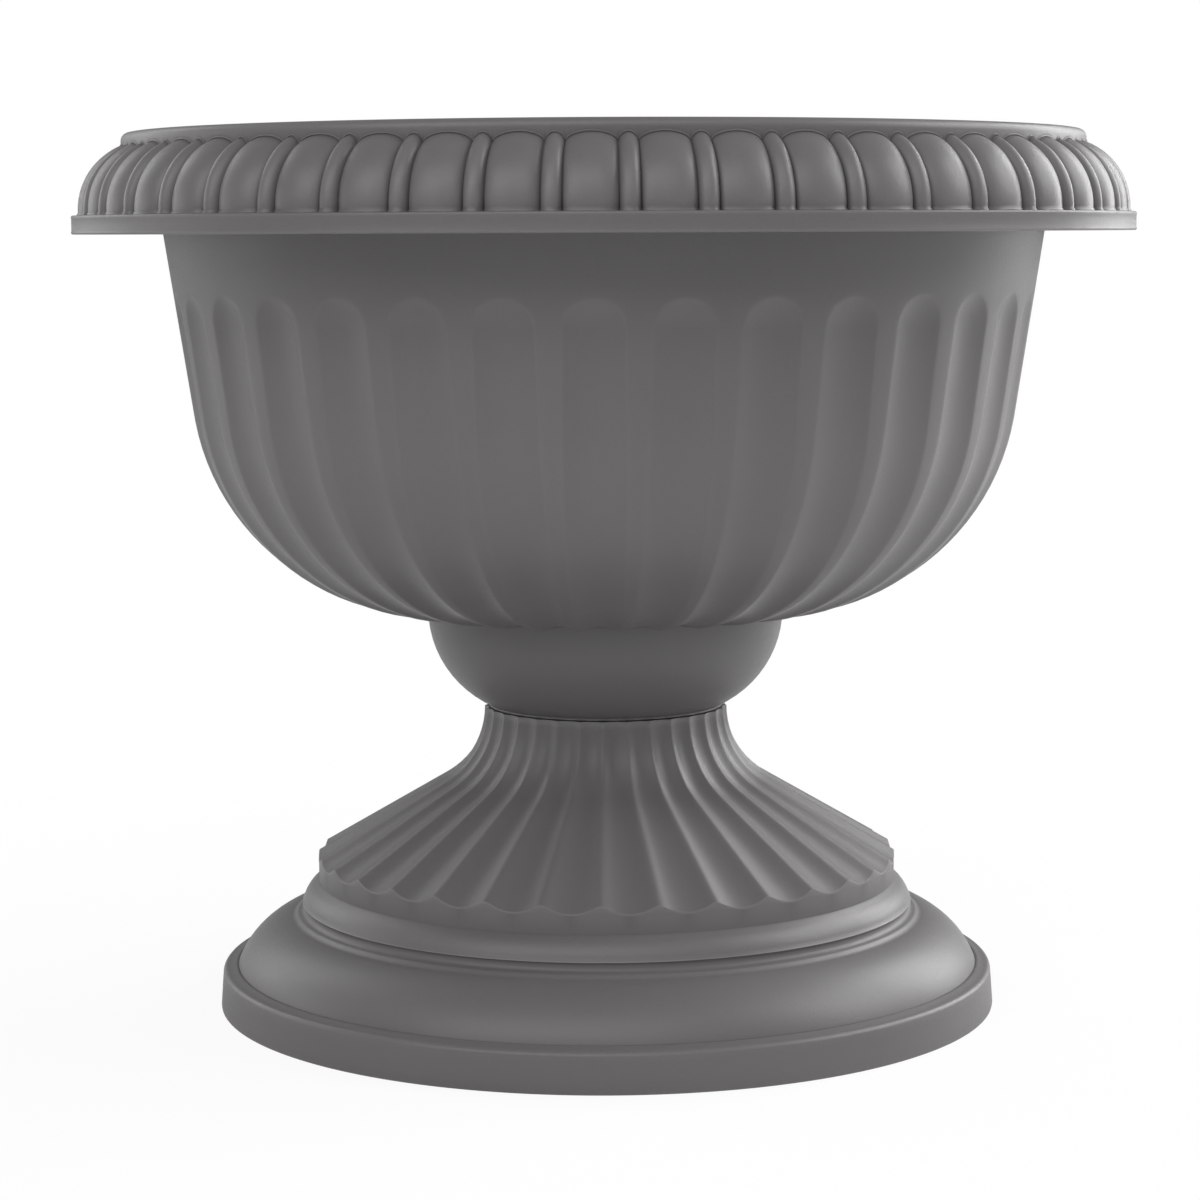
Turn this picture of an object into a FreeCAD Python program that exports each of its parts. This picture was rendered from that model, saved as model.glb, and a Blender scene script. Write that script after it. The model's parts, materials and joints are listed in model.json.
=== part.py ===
"""Urn planter: a gadrooned and fluted resin bowl that twist-locks onto a fluted pedestal.

Millimetres and degrees.  The origin is on the floor, at the centre of the foot, with
+Z up and the front of the urn towards -Y.  Every driving dimension is a named cell of
the sheet called sizes, and sketches, features and places are bound to those cells.
"""
import FreeCAD, Part
import math
import os
import Sketcher

DRIVING_SIZES = {
    # pedestal: radii, and heights above the floor
    "foot_radius": 171.0,
    "foot_top_radius": 169.8,
    "foot_height": 16.4,
    "ledge_radius": 163.0,
    "ledge_height": 18.5,
    "swell_round": 31.0,
    "swell_top_radius": 137.6,
    "swell_top_height": 39.6,
    "ridge_radius": 135.8,
    "ridge_height": 41.2,
    "ridge_round": 2.4,
    "cove_round": 3.6,
    "ring_radius": 134.7,
    "ring_height": 44.9,
    "ring_round": 8.9,
    "band_radius": 127.3,
    "band_height": 54.4,
    "skirt_height": 67.0,
    "neck_radius": 51.6,
    "neck_height": 130.4,
    "neck_round": 36.0,
    "pedestal_wall": 5.5,
    # bowl: radii, and heights above its own seat on the pedestal
    "seat_gap": 0.3,
    "seat_radius": 51.4,
    "seat_lip": 1.0,
    "knop_radius": 78.0,
    "knop_height": 42.7,
    "knop_floor": 4.0,
    "belly_round": 101.5,
    "wall_top_radius": 190.3,
    "channel_radius": 196.2,
    "bowl_wall": 5.5,
    # flutes: the land is the plain strip left between two flutes
    "flute_count": 33,
    "flute_top_height": 182.0,
    "flute_stop": 0.8,
    "bowl_land_top": 10.6,
    "bowl_land_knop": 2.0,
    "bowl_flute_depth_top": 3.2,
    "bowl_flute_depth_knop": 1.7,
    "pedestal_land_band": 2.2,
    "pedestal_land_neck": 0.9,
    "pedestal_flute_depth_band": 2.9,
    "pedestal_flute_depth_neck": 1.6,
    # rim: a quarter-round of gadroons between a collar above and a flat lip below
    "lip_base_height": 207.0,
    "lip_thickness": 8.0,
    "lip_radius": 228.6,
    "lip_round": 1.2,
    "ovolo_radius": 29.4,
    "ovolo_reach": 226.3,
    "ovolo_rise": 1.9,
    "collar_radius": 207.0,
    "collar_round": 2.0,
    "bowl_height": 249.6,
    "rim_wall": 3.6,
    "gadroon_count": 48,
    "gadroon_root": 1.0,
    "gadroon_foot_angle": 6.0,
    "egg_half_width": 9.5,
    "egg_height": 4.2,
    "bead_half_width": 3.5,
    "bead_height": 3.7,
    # twist lock between the bowl's spigot and the deck of the pedestal's neck
    "lock_count": 3,
    "lock_phase": 30.0,
    "spigot_radius": 34.0,
    "spigot_wall": 4.0,
    "spigot_clearance": 0.4,
    "deck_thickness": 4.0,
    "lug_reach": 6.5,
    "lug_thickness": 4.0,
    "lug_angle": 24.0,
    "notch_angle": 26.0,
    "twist_angle": 40.0,
    "stop_angle": 4.0,
    "stop_gap_angle": 0.5,
    "lock_gap": 0.3,
    # drain holes in the floor of the knop, and the plug in each
    "drain_count": 3,
    "drain_circle_radius": 18.0,
    "drain_radius": 6.0,
    "plug_clearance": 0.3,
    "plug_head_radius": 9.0,
    "plug_head_thickness": 2.5,
    "plug_tail": 3.5,
    "plug_wall": 1.8,
    "plug_grip_width": 3.0,
    "plug_grip_length": 12.0,
    "plug_grip_height": 7.0,
    "plug_seat_gap": 0.1,
}

doc = FreeCAD.newDocument("urn_planter")
sheet = doc.addObject("Spreadsheet::Sheet", "sizes")
for row, (alias, size) in enumerate(DRIVING_SIZES.items(), start=1):
    sheet.set(f"A{row}", alias)
    sheet.set(f"B{row}", str(size))
    sheet.setAlias(f"B{row}", alias)
doc.recompute()


# ---------------------------------------------------------------- sums of named sizes

def value(total):
    """Number for a sum such as 'lip_radius - 2*rim_wall'."""
    result = 0.0
    sign = 1.0
    for word in total.split():
        if word in ("+", "-"):
            sign = 1.0 if word == "+" else -1.0
            continue
        product = sign
        for factor in word.split("*"):
            product *= sheet.get(factor) if factor in DRIVING_SIZES else float(factor)
        result += product
    return result


def formula(total):
    """The same sum as an expression on the sheet."""
    words = []
    for word in total.split():
        factors = [f"sizes.{f}" if f in DRIVING_SIZES else f for f in word.split("*")]
        words.append("*".join(factors))
    return " ".join(words)


def vector(x, y, z=0.0):
    return FreeCAD.Vector(x, y, z)


# ---------------------------------------------------------------- sketches

SAME_PLACE = 1e-6  # corners nearer than this are one


class Outline:
    """A closed chain of lines and arcs whose corners are bound to sums of named sizes.

    A corner coordinate given as None is left to the sketch solver, and near then says
    roughly where the corner falls.
    """

    def __init__(self, sketch, x, y):
        self.sketch = sketch
        self.first_corner = (x, y)
        self.here = vector(value(x), value(y))
        self.chain = []

    def line(self, x=None, y=None, near=None, smooth=False):
        there = self._corner(x, y, near)
        index = self.sketch.addGeometry(Part.LineSegment(self.here, there), False)
        self._join(index, 1, 2, x, y, smooth)
        self.here = there
        return index

    def arc(self, centre, x=None, y=None, near=None, smooth=False, radius=None):
        """Arc round a centre; the centre's place is a first guess unless bound later."""
        there = self._corner(x, y, near)
        middle_way = (self.here - centre).normalize() + (there - centre).normalize()
        reach = (self.here - centre).Length
        middle = centre + middle_way.normalize() * reach
        index = self.sketch.addGeometry(Part.Arc(self.here, middle, there), False)
        start, end = 1, 2
        if self.sketch.getPoint(index, 1).distanceToPoint(self.here) > SAME_PLACE:
            start, end = 2, 1
        self._join(index, start, end, x, y, smooth)
        if radius is not None:
            self.bind("Radius", radius, index)
        self.here = there
        return index

    def bulge(self, x, y, radius, side):
        """Arc of a given radius; side 1 bulges to the left of travel, -1 to the right."""
        there = vector(value(x), value(y))
        chord = there - self.here
        drop = math.sqrt(value(radius) ** 2 - (chord.Length / 2) ** 2)
        left = vector(-chord.y, chord.x).normalize()
        centre = (self.here + there) * 0.5 - left * (drop * side)
        return self.arc(centre, x, y, radius=radius)

    def square_arc(self, x, y, leaves=None, arrives=None):
        """Arc that leaves its start, or arrives at its end, either level or upright."""
        there = vector(value(x), value(y))
        heading = vector(1, 0) if "level" in (leaves, arrives) else vector(0, 1)
        point, other = (self.here, there) if leaves else (there, self.here)
        index = self.arc(self._round_centre(point, heading, other), x, y)
        self.square_centre(index, leaves, arrives)
        return index

    def crest_arc(self, x, y, crest):
        """Arc to a corner that mirrors its start, over a crest on the sketch's level axis."""
        top = vector(value(crest), 0)
        centre = self._round_centre(top, vector(0, 1), self.here)
        index = self.arc(centre, x, y)
        point = self.sketch.addGeometry(Part.Point(top), True)
        self.bind("DistanceX", crest, -1, 1, point, 1)
        self._constrain("PointOnObject", point, 1, -1)
        self._constrain("PointOnObject", point, 1, index)
        return index

    def square_centre(self, index, leaves=None, arrives=None):
        """Hold an arc level or upright at its start or at its end."""
        _, start, end = self._ends_of(index)
        kind = "Vertical" if "level" in (leaves, arrives) else "Horizontal"
        self._constrain(kind, index, 3, index, start if leaves else end)

    def close(self):
        """Straight edge back to the first corner."""
        there = vector(*(value(total) for total in self.first_corner))
        index = self.sketch.addGeometry(Part.LineSegment(self.here, there), False)
        last, _, last_end = self.chain[-1]
        first, first_start, _ = self.chain[0]
        self._constrain("Coincident", last, last_end, index, 1)
        self._constrain("Coincident", index, 2, first, first_start)

    def bind(self, kind, total, *where):
        """Add a dimension to the sketch and bind it to a sum of sizes."""
        number = self._constrain(kind, *where, value(total))
        self.sketch.setExpression(f"Constraints[{number}]", formula(total))

    def bind_centre(self, index, total):
        """Bind how far an arc's centre lies from the sketch's upright axis."""
        self.bind("DistanceX", total, -1, 1, index, 3)

    def walk(self, index, share):
        """Point and outward direction at a share of an edge; the share may overshoot."""
        _, start, end = self._ends_of(index)
        edge = self.sketch.Geometry[index]
        first = self.sketch.getPoint(index, start)
        last = self.sketch.getPoint(index, end)
        if isinstance(edge, Part.LineSegment):
            along = (last - first).normalize()
            return first + (last - first) * share, vector(along.y, -along.x)
        turn = edge.LastParameter - edge.FirstParameter
        if start == 2:
            turn = -turn
        angle = math.degrees(turn * share)
        spoke = FreeCAD.Rotation(vector(0, 0, 1), angle).multVec(first - edge.Center)
        outward = spoke * (1.0 if turn > 0 else -1.0)
        return edge.Center + spoke, outward.normalize()

    def length(self, edges):
        return sum(self.sketch.Geometry[edge].length() for edge in edges)

    def along(self, edges, distance):
        """Point and outward direction at a distance along a run of edges; may overshoot."""
        for edge in edges[:-1]:
            if distance <= self.length([edge]):
                return self.walk(edge, distance / self.length([edge]))
            distance -= self.length([edge])
        return self.walk(edges[-1], distance / self.length(edges[-1:]))

    def _corner(self, x, y, near):
        guess = near or (0.0, 0.0)
        return vector(guess[0] if x is None else value(x), guess[1] if y is None else value(y))

    def _constrain(self, kind, *what):
        return self.sketch.addConstraint(Sketcher.Constraint(kind, *what))

    def _join(self, index, start, end, x, y, smooth):
        if self.chain:
            last, _, last_end = self.chain[-1]
            self._constrain("Tangent" if smooth else "Coincident", last, last_end, index, start)
        else:
            self.bind("DistanceX", self.first_corner[0], -1, 1, index, start)
            self.bind("DistanceY", self.first_corner[1], -1, 1, index, start)
        if x is not None:
            self.bind("DistanceX", x, -1, 1, index, end)
        if y is not None:
            self.bind("DistanceY", y, -1, 1, index, end)
        self.chain.append((index, start, end))

    def _ends_of(self, index):
        return next(link for link in self.chain if link[0] == index)

    @staticmethod
    def _round_centre(point, heading, other):
        """Centre of the circle that passes through a point along a heading and meets another."""
        normal = vector(-heading.y, heading.x).normalize()
        chord = other - point
        return point + normal * (chord.Length ** 2 / (2 * chord.dot(normal)))


def origin_plane(body, role):
    """One of a body's own origin planes or axes, such as XZ_Plane."""
    return next(f for f in body.Origin.OriginFeatures if f.Role == role)


def add_sketch(body, name, role="XY_Plane", base=("0", "0", "0")):
    """Sketch on a plane of the body's origin, shifted by bound sums."""
    sketch = body.newObject("Sketcher::SketchObject", name)
    sketch.AttachmentSupport = [(origin_plane(body, role), "")]
    sketch.MapMode = "FlatFace"
    sketch.AttachmentOffset.Base = vector(*(value(total) for total in base))
    for axis, total in zip("xyz", base):
        if total != "0":
            sketch.setExpression(f"AttachmentOffset.Base.{axis}", formula(total))
    return sketch


def ring_sector(sketch, inner, outer, middle, width):
    """Sector of a ring round the origin; its radii and angles are sums of sizes."""
    radii = [value(inner), value(outer)]
    low = math.radians(value(middle) - value(width) / 2)
    high = math.radians(value(middle) + value(width) / 2)
    circles = [Part.Circle(vector(0, 0), vector(0, 0, 1), radius) for radius in radii]
    arcs = [sketch.addGeometry(Part.ArcOfCircle(c, low, high), False) for c in circles]
    sides = []
    for angle, end in ((low, 1), (high, 2)):
        ray = vector(math.cos(angle), math.sin(angle))
        side = sketch.addGeometry(Part.LineSegment(ray * radii[0], ray * radii[1]), False)
        sketch.addConstraint(Sketcher.Constraint("Coincident", side, 1, arcs[0], end))
        sketch.addConstraint(Sketcher.Constraint("Coincident", side, 2, arcs[1], end))
        sketch.addConstraint(Sketcher.Constraint("PointOnObject", -1, 1, side))
        sides.append(side)
    for arc, total in zip(arcs, (inner, outer)):
        sketch.addConstraint(Sketcher.Constraint("Coincident", arc, 3, -1, 1))
        number = sketch.addConstraint(Sketcher.Constraint("Radius", arc, value(total)))
        sketch.setExpression(f"Constraints[{number}]", formula(total))
    for side, sign in zip(sides, "-+"):
        total = f"{middle} {sign} 0.5*{width}"
        angle = math.radians(value(total))
        number = sketch.addConstraint(Sketcher.Constraint("Angle", side, angle))
        sketch.setExpression(f"Constraints[{number}]", formula(total))


def circle(sketch, radius):
    """Circle of a bound radius round the sketch's origin."""
    shape = Part.Circle(vector(0, 0), vector(0, 0, 1), value(radius))
    index = sketch.addGeometry(shape, False)
    sketch.addConstraint(Sketcher.Constraint("Coincident", index, 3, -1, 1))
    number = sketch.addConstraint(Sketcher.Constraint("Radius", index, value(radius)))
    sketch.setExpression(f"Constraints[{number}]", formula(radius))


# ---------------------------------------------------------------- features

def revolve(body, name, sketch):
    """Full turn of a section about the sketch's upright axis."""
    feature = body.newObject("PartDesign::Revolution", name)
    feature.Profile = sketch
    feature.ReferenceAxis = (sketch, ["V_Axis"])
    feature.Angle = 360
    return feature


def extrude(body, kind, name, sketch, length, backwards=False):
    """Pad or Pocket of a bound length."""
    feature = body.newObject(f"PartDesign::{kind}", name)
    feature.Profile = sketch
    feature.Length = value(length)
    feature.setExpression("Length", formula(length))
    feature.Reversed = backwards
    return feature


def ring_pattern(body, name, features, count):
    """Repeat features round the Z axis; count is a cell of the sheet."""
    pattern = body.newObject("PartDesign::PolarPattern", name)
    pattern.Originals = features
    pattern.Axis = (origin_plane(body, "Z_Axis"), [""])
    pattern.Angle = 360
    pattern.Occurrences = int(value(count))
    pattern.setExpression("Occurrences", formula(count))
    body.Tip = pattern


def new_body(name, height="0"):
    """A body standing on the Z axis at a bound height."""
    body = doc.addObject("PartDesign::Body", name)
    body.Placement.Base = vector(0, 0, value(height))
    if height != "0":
        body.setExpression("Placement.Base.z", formula(height))
    return body


# ---------------------------------------------------------------- flutes

FLUTE_CLEAR = 1.5  # how far a flute's cutter stands proud of the surface
FLUTE_STATIONS = 14  # sections along a flute's cutter
BAND_OVERRUN = 4.0  # how far a pedestal flute's cutter runs out past the band's edge
NECK_OVERRUN = 3.0  # and past the top of the neck


def shared(inner_total, outer_total, inner_radius, outer_radius, radius):
    """Size at a radius that changes evenly between two named sizes."""
    inner, outer = value(inner_total), value(outer_total)
    share = (radius - value(inner_radius)) / (value(outer_radius) - value(inner_radius))
    return inner + (outer - inner) * share


def flute_corners(point, outward, width, depth):
    """Left edge, bottom, right edge and the two upper corners of a flute's section.

    The edges lie on the round surface, so they fall back from the plane through point.
    """
    across = vector(0, 1, 0) * (width / 2)
    fall = outward * (outward.x * width ** 2 / (8 * point.x))
    lift = outward * FLUTE_CLEAR
    left = point - across - fall
    right = point + across - fall
    return left, point - outward * depth, right, point + across + lift, point - across + lift


def flute_section(point, outward, width, depth):
    """Closed wire: the hollow arc, two short sides and the flat top."""
    left, bottom, right, upper_right, upper_left = flute_corners(point, outward, width, depth)
    loop = [right, upper_right, upper_left, left]
    sides = [Part.LineSegment(a, b).toShape() for a, b in zip(loop, loop[1:])]
    return Part.Wire([Part.Arc(left, bottom, right).toShape()] + sides)


def flute_cap(point, outward, width, depth):
    """Round upper end of a flute: half of its section turned about the outward line."""
    left, bottom, right, upper_right, _ = flute_corners(point, outward, width, depth)
    arc = Part.Arc(left, bottom, right)
    first, last = arc.FirstParameter, arc.LastParameter
    half = Part.Arc(bottom, arc.value(first + 0.75 * (last - first)), right).toShape()
    top = point + outward * FLUTE_CLEAR
    loop = [right, upper_right, top, bottom]
    sides = [Part.LineSegment(a, b).toShape() for a, b in zip(loop, loop[1:])]
    return Part.Face(Part.Wire([half] + sides)).revolve(point, outward, 180)


def flute_loft(outline, edges, first, last, steps, size_at):
    """Cutter along a run of an outline's edges, between two distances along it."""
    sections = []
    for step in range(steps + 1):
        point, outward = outline.along(edges, first + (last - first) * step / steps)
        sections.append(flute_section(in_space(point), in_space(outward), *size_at(point)))
    return Part.makeLoft(sections, True)


def in_space(spot):
    """A point or direction of an outline, in the plane that holds the axis and +X."""
    return vector(spot.x, 0, spot.y)


def flute_ring(name, cutter, phase, height):
    """Cutters for every flute, the first one turned by phase from +X."""
    count = int(value("flute_count"))
    copies = []
    for number in range(count):
        copy = cutter.copy()
        copy.rotate(vector(0, 0), vector(0, 0, 1), phase + 360.0 * number / count)
        copies.append(copy)
    ring = doc.addObject("Part::Feature", name)
    ring.Shape = Part.makeCompound(copies)
    ring.Placement.Base = vector(0, 0, value(height))
    ring.setExpression("Placement.Base.z", formula(height))
    return ring


def cut(name, blank, cutters):
    """The finished piece: a blank body with its flutes cut."""
    doc.recompute()
    piece = doc.addObject("Part::Feature", name)
    piece.Shape = blank.Shape.cut(cutters.Shape)
    return piece


# ---------------------------------------------------------------- pedestal

FRONT = -90.0  # direction of the urn's front, measured from +X


def pedestal_outline(body):
    """Half section of the hollow pedestal; returns it with its fluted edges."""
    sketch = add_sketch(body, "pedestal_section", "XZ_Plane")
    wall = "pedestal_wall"
    outline = Outline(sketch, "foot_radius", "0")
    outline.line("foot_top_radius", "foot_height")
    outline.line("ledge_radius", "ledge_height")
    outline.bulge("swell_top_radius", "swell_top_height", "swell_round", -1)
    outline.bulge("ridge_radius", "ridge_height", "ridge_round", -1)
    outline.bulge("ring_radius", "ring_height", "cove_round", 1)
    outline.bulge("band_radius", "band_height", "ring_round", -1)
    outline.line("band_radius", "skirt_height")
    neck_foot = (value("neck_radius + 0.14*neck_round"), value("neck_height - 0.5*neck_round"))
    skirt = outline.line(near=neck_foot)
    neck_centre = vector(value("neck_radius + neck_round"), value("neck_height"))
    neck = outline.arc(neck_centre, "neck_radius", "neck_height", smooth=True, radius="neck_round")
    outline.square_centre(neck, arrives="upright")
    # the deck, and back down the inside of the wall
    deck = "neck_height - deck_thickness"
    outline.line("spigot_radius + spigot_clearance", "neck_height")
    outline.line("spigot_radius + spigot_clearance", deck)
    outline.line(f"neck_radius - {wall}", deck)
    inner_radius = f"neck_round + {wall}"
    inner_centre = neck_centre - vector(0, value("deck_thickness"))
    inner_foot = (value("neck_radius + neck_round") - 0.8 * value(inner_radius), 0.7 * inner_centre.y)
    inner_neck = outline.arc(inner_centre, near=inner_foot, radius=inner_radius)
    outline.square_centre(inner_neck, leaves="upright")
    outline.line(f"band_radius - {wall}", f"skirt_height - {wall}", smooth=True)
    outline.line(f"band_radius - {wall}", f"band_height - {wall}")
    outline.line(f"swell_top_radius - {wall}", f"swell_top_height - {wall}")
    outline.bulge(f"ledge_radius - {wall}", f"ledge_height - {wall}", f"swell_round - {wall}", 1)
    outline.line(f"foot_top_radius - {wall}", f"foot_height - {wall}")
    outline.line(f"foot_radius - {wall}", "0")
    outline.close()
    return sketch, outline, [skirt, neck]


def pedestal_flute(outline, edges):
    """Cutter of one flute, from beyond the band's edge to above the top of the neck."""

    def size_at(point):
        span = ("neck_radius", "band_radius", point.x)
        land = shared("pedestal_land_neck", "pedestal_land_band", *span)
        depth = shared("pedestal_flute_depth_neck", "pedestal_flute_depth_band", *span)
        return 2 * math.pi * point.x / value("flute_count") - land, depth

    last = outline.length(edges) + NECK_OVERRUN
    return flute_loft(outline, edges, -BAND_OVERRUN, last, FLUTE_STATIONS, size_at)


def make_pedestal():
    body = new_body("pedestal_blank")
    sketch, outline, edges = pedestal_outline(body)
    doc.recompute()
    revolve(body, "pedestal_shell", sketch)

    # notches that let the lugs through the deck, and the stops that end the twist
    notch_sketch = add_sketch(body, "notch_section", base=("0", "0", "neck_height"))
    ring_sector(
        notch_sketch,
        "spigot_radius - spigot_clearance",
        "spigot_radius + lug_reach + spigot_clearance",
        "lock_phase + twist_angle",
        "notch_angle",
    )
    notch = extrude(body, "Pocket", "notch", notch_sketch, "2*deck_thickness")
    ring_pattern(body, "notches", [notch], "lock_count")
    stop_sketch = add_sketch(body, "stop_section", base=("0", "0", "neck_height - 0.5*deck_thickness"))
    ring_sector(
        stop_sketch,
        "spigot_radius + 2*spigot_clearance",
        "neck_radius - 0.8*pedestal_wall",
        "lock_phase - 0.5*lug_angle - stop_gap_angle - 0.5*stop_angle",
        "stop_angle",
    )
    stop = extrude(body, "Pad", "stop", stop_sketch, "0.5*deck_thickness + lug_thickness", True)
    ring_pattern(body, "stops", [stop], "lock_count")

    # a crest between two flutes faces the front
    phase = FRONT + 180.0 / value("flute_count")
    flutes = flute_ring("pedestal_flutes", pedestal_flute(outline, edges), phase, "0")
    return cut("pedestal", body, flutes)


# ---------------------------------------------------------------- bowl

BOWL_SEAT = "neck_height + seat_gap"
LIP_TOP = "lip_base_height + lip_thickness"
OVOLO_CENTRE = "ovolo_reach - ovolo_radius"


def bowl_outline(body):
    """Half section of the bowl, whose rim is as deep as the creases between the gadroons.

    Returns it with its fluted edges.
    """
    sketch = add_sketch(body, "bowl_section", "XZ_Plane")
    outline = Outline(sketch, "0", "0")
    # underside: the spigot, then the seat
    spigot_foot = "- seat_gap - deck_thickness - lock_gap - lug_thickness"
    outline.line("spigot_radius - spigot_wall", "0")
    outline.line("spigot_radius - spigot_wall", spigot_foot)
    outline.line("spigot_radius", spigot_foot)
    outline.line("spigot_radius", "0")
    outline.line("seat_radius", "0")
    outline.line("seat_radius", "seat_lip")
    # outside: knop, belly, and the wall up into the channel under the rim
    outline.square_arc("knop_radius", "knop_height", arrives="upright")
    belly_centre = vector(value("knop_radius"), value("knop_height + belly_round"))
    belly_end = (value("knop_radius + belly_round"), value("knop_height + 0.85*belly_round"))
    belly = outline.arc(belly_centre, near=belly_end, radius="belly_round")
    outline.square_centre(belly, leaves="level")
    wall = outline.line("wall_top_radius", "lip_base_height", smooth=True)
    outline.line("channel_radius", "bowl_height - rim_wall")
    # inside of the rim: collar, ovolo, lip
    rim_inside = "collar_radius - rim_wall"
    ovolo_inside = "ovolo_reach - egg_height - 0.8*rim_wall"
    outline.line(rim_inside, "bowl_height - rim_wall")
    ovolo_height = value(f"{LIP_TOP} + ovolo_rise")
    ovolo_centre = vector(value(OVOLO_CENTRE), ovolo_height)
    outline.line(rim_inside, near=(0, ovolo_height + 0.7 * value("ovolo_radius")))
    inside = outline.arc(ovolo_centre, ovolo_inside, f"{LIP_TOP} + ovolo_rise")
    outline.bind_centre(inside, OVOLO_CENTRE)
    outline.square_centre(inside, arrives="upright")
    outline.line(ovolo_inside, f"{LIP_TOP} - rim_wall")
    outline.line("lip_radius - rim_wall", f"{LIP_TOP} - rim_wall")
    outline.line("lip_radius - rim_wall", "lip_base_height")
    # outside of the rim
    outline.line("lip_radius", "lip_base_height")
    outline.line("lip_radius", f"{LIP_TOP} - lip_round")
    outline.bulge("lip_radius - lip_round", LIP_TOP, "lip_round", -1)
    outline.line("ovolo_reach - egg_height", LIP_TOP)
    outline.line("ovolo_reach - egg_height", f"{LIP_TOP} + ovolo_rise")
    collar_foot = (0, ovolo_height + 0.8 * value("ovolo_radius"))
    outside = outline.arc(ovolo_centre, "collar_radius", near=collar_foot)
    outline.bind_centre(outside, OVOLO_CENTRE)
    outline.square_centre(outside, leaves="upright")
    outline.line("collar_radius", "bowl_height - collar_round")
    outline.bulge("collar_radius - collar_round", "bowl_height", "collar_round", -1)
    # inside of the bowl, down to the floor of the knop
    outline.line("channel_radius - bowl_wall + collar_round", "bowl_height")
    outline.bulge("channel_radius - bowl_wall", "bowl_height - collar_round", "collar_round", -1)
    inner_end = (belly_end[0] - value("bowl_wall"), belly_end[1])
    outline.line(near=inner_end)
    floor = ("knop_radius", "knop_height + bowl_wall")
    inside_belly = outline.arc(belly_centre, *floor, smooth=True, radius="belly_round - bowl_wall")
    outline.square_centre(inside_belly, arrives="level")
    outline.bulge("knop_radius - bowl_wall", "knop_height", "bowl_wall", 1)
    outline.square_arc("seat_radius - bowl_wall", "knop_floor", leaves="upright")
    outline.line("0", "knop_floor")
    outline.close()
    return sketch, outline, [belly, wall]


def bowl_flute(outline, edges):
    """Cutter of one flute, from the knop up to its round end on the wall."""

    def size_at(point):
        span = ("knop_radius", "wall_top_radius", point.x)
        land = shared("bowl_land_knop", "bowl_land_top", *span)
        depth = shared("bowl_flute_depth_knop", "bowl_flute_depth_top", *span)
        return 2 * math.pi * point.x / value("flute_count") - land, depth

    # the round end's centre lies half a flute below the flute's top
    wall_top, outward = outline.along(edges, outline.length(edges))
    below_lip = (wall_top.y - value("flute_top_height")) / outward.x
    top = outline.length(edges) - below_lip
    half_width = size_at(outline.along(edges, top)[0])[0] / 2
    last = top - half_width
    centre, outward = outline.along(edges, last)
    cap = flute_cap(in_space(centre), in_space(outward), *size_at(centre))
    run = flute_loft(outline, edges, value("flute_stop"), last, FLUTE_STATIONS - 1, size_at)
    return run.fuse(cap).Solids[0]


def gadroon_sketch(body, name, half_width, height, turn_steps):
    """Section of an egg or a bead, on the level plane through the ovolo's centre.

    It is turned round the urn by turn_steps half pitches from +X.
    """
    sketch = add_sketch(body, name)
    angle = f"{turn_steps} * 180 / sizes.gadroon_count"
    centre = f"({formula(OVOLO_CENTRE)})"
    sketch.setExpression("AttachmentOffset.Base.x", f"{centre} * cos({angle})")
    sketch.setExpression("AttachmentOffset.Base.y", f"{centre} * sin({angle})")
    sketch.setExpression("AttachmentOffset.Base.z", formula(f"{LIP_TOP} + ovolo_rise"))
    sketch.setExpression("AttachmentOffset.Rotation.Angle", f"1 deg * {angle}")
    valley = "ovolo_radius - egg_height"
    root = f"{valley} - gadroon_root"
    outline = Outline(sketch, root, f"- {half_width}")
    outline.line(valley, f"- {half_width}")
    outline.crest_arc(valley, half_width, f"{valley} + {height}")
    outline.line(root, half_width)
    outline.close()
    return sketch


def gadroon(body, name, half_width, height, turn_steps):
    """One egg or bead, swept from just inside the lip to inside the collar's wall."""
    sketch = gadroon_sketch(body, f"{name}_section", half_width, height, turn_steps)
    feature = body.newObject("PartDesign::Revolution", name)
    feature.Profile = sketch
    feature.ReferenceAxis = (sketch, ["V_Axis"])
    feature.Type = "TwoAngles"
    feature.Reversed = True
    collar_reach = formula("collar_radius - 0.75*rim_wall - ovolo_reach + ovolo_radius")
    root = formula("ovolo_radius - egg_height - gadroon_root")
    feature.setExpression("Angle", f"acos(({collar_reach}) / ({root}))")
    feature.setExpression("Angle2", "sizes.gadroon_foot_angle")
    return feature


def make_bowl():
    body = new_body("bowl_blank", BOWL_SEAT)
    sketch, outline, edges = bowl_outline(body)
    doc.recompute()
    revolve(body, "bowl_shell", sketch)
    egg = gadroon(body, "egg", "egg_half_width", "egg_height", 0)
    bead = gadroon(body, "bead", "bead_half_width", "bead_height", 1)
    ring_pattern(body, "gadroons", [egg, bead], "gadroon_count")

    # lugs of the twist lock, level with the spigot's lower end
    lug_foot = "- seat_gap - deck_thickness - lock_gap - lug_thickness"
    lug_sketch = add_sketch(body, "lug_section", base=("0", "0", lug_foot))
    ring_sector(
        lug_sketch,
        "spigot_radius - 0.5*spigot_wall",
        "spigot_radius + lug_reach",
        "lock_phase",
        "lug_angle",
    )
    lug = extrude(body, "Pad", "lug", lug_sketch, "lug_thickness")
    ring_pattern(body, "lugs", [lug], "lock_count")

    hole_sketch = add_sketch(body, "drain_hole_section", base=("drain_circle_radius", "0", "knop_floor"))
    circle(hole_sketch, "drain_radius")
    hole = extrude(body, "Pocket", "drain_hole", hole_sketch, "2*knop_floor")
    ring_pattern(body, "drain_holes", [hole], "drain_count")

    flutes = flute_ring("bowl_flutes", bowl_flute(outline, edges), FRONT, BOWL_SEAT)
    return cut("bowl", body, flutes)


# ---------------------------------------------------------------- drain plugs

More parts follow.
